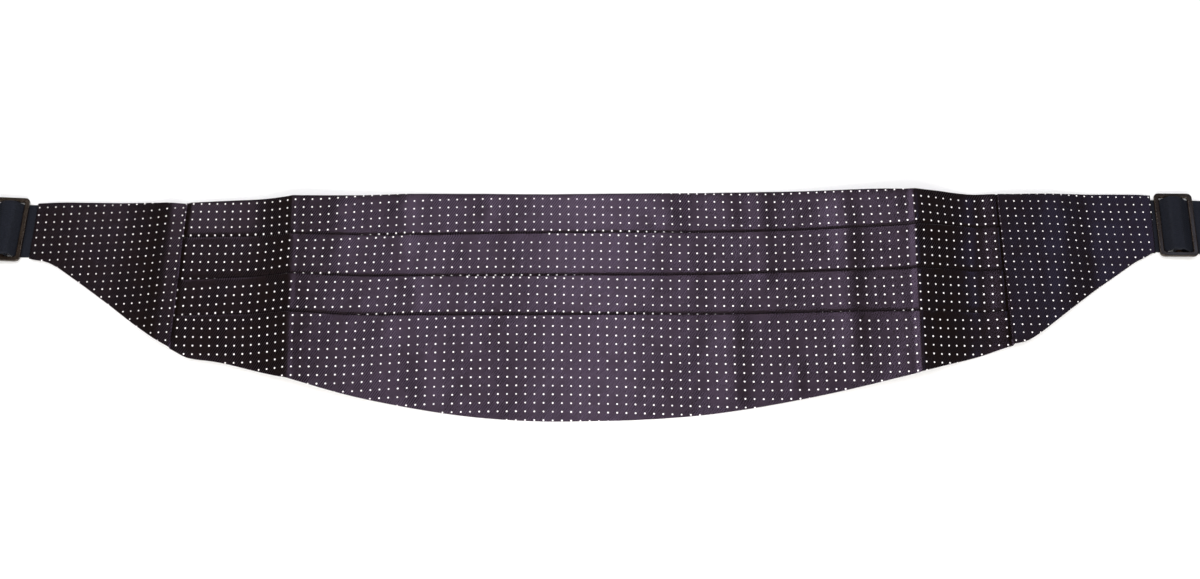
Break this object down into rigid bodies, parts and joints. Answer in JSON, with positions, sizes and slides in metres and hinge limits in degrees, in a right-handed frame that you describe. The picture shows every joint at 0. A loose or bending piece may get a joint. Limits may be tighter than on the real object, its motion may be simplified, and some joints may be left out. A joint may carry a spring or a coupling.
{
  "type": "cummerbund",
  "caption": "Pleated pin-dot satin waist sash laid open, with narrowing end panels, webbing straps, adjusting slides and a hook and eye clasp.",
  "frame": {"origin": "middle of the flat back face of the pleated front, on the surface it lies on", "axes": "+X along the sash towards its right end seen from the front, +Y up its height as worn, +Z out of its front face"},
  "size_m": [0.8474, 0.1328, 0.014],
  "materials": {
    "satin": "dark plum-grey twill satin with white pin dots and a soft sheen",
    "webbing": "near-black ribbed strap webbing, matt",
    "gloss_black": "glossy brown-black"
  },
  "bodies": {
    "root": {"pleated_front": "satin", "end_panel_left": "satin", "end_panel_right": "satin", "strap_left": "webbing", "strap_right": "webbing", "slide_left": "gloss_black", "slide_right": "gloss_black", "clasp_hook": "gloss_black", "clasp_eye": "gloss_black"}
  },
  "joints": []
}
